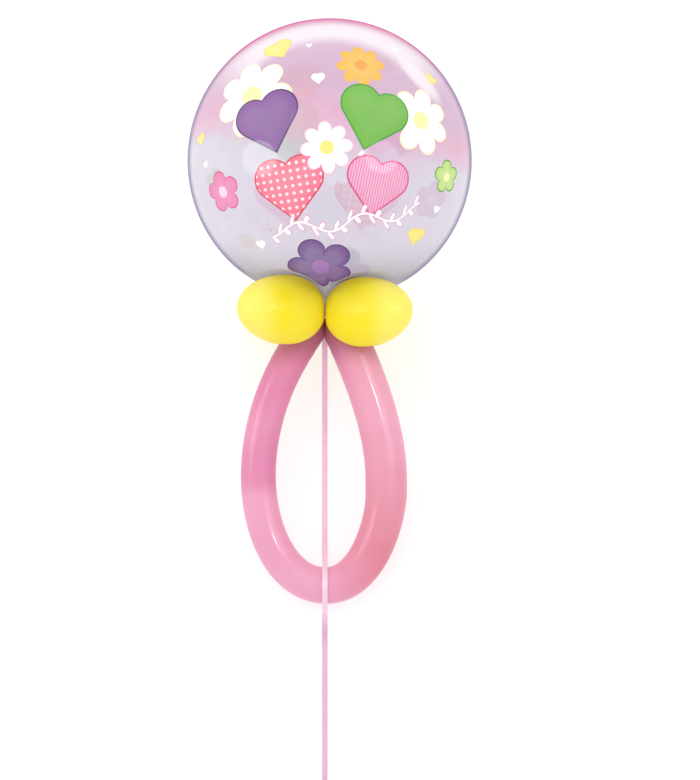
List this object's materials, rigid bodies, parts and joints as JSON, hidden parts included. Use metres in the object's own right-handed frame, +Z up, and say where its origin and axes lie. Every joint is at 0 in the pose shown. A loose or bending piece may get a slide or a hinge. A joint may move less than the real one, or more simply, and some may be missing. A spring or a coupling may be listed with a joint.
{
  "type": "clear bubble balloon arrangement",
  "caption": "Clear bubble balloon on a collar of small round balloons, with a long balloon bent into a loop and a flat ribbon, shaped like a giant baby's dummy.",
  "frame": {"origin": "on the surface that the arrangement lies on, at the middle of the balloons' footprint", "axes": "+Z up, +Y from the end of the loop towards the bubble, +X to the right of a viewer who looks along +Y"},
  "size_m": [0.5595, 1.6121, 0.5572],
  "materials": {
    "clear_film": "clear glossy film with a translucent print",
    "yellow_latex": "satin opaque latex",
    "pink_latex": "glossy opaque latex",
    "pink_ribbon": "satin curling ribbon with fine ribs"
  },
  "bodies": {
    "root": {"bubble_balloon": "clear_film", "small_balloon_front_left": "yellow_latex", "small_balloon_front_right": "yellow_latex", "small_balloon_back_left": "yellow_latex", "small_balloon_back_right": "yellow_latex", "loop_balloon": "pink_latex", "ribbon_tie": "pink_ribbon", "ribbon": "pink_ribbon", "ribbon_coil": "pink_ribbon"}
  },
  "joints": []
}
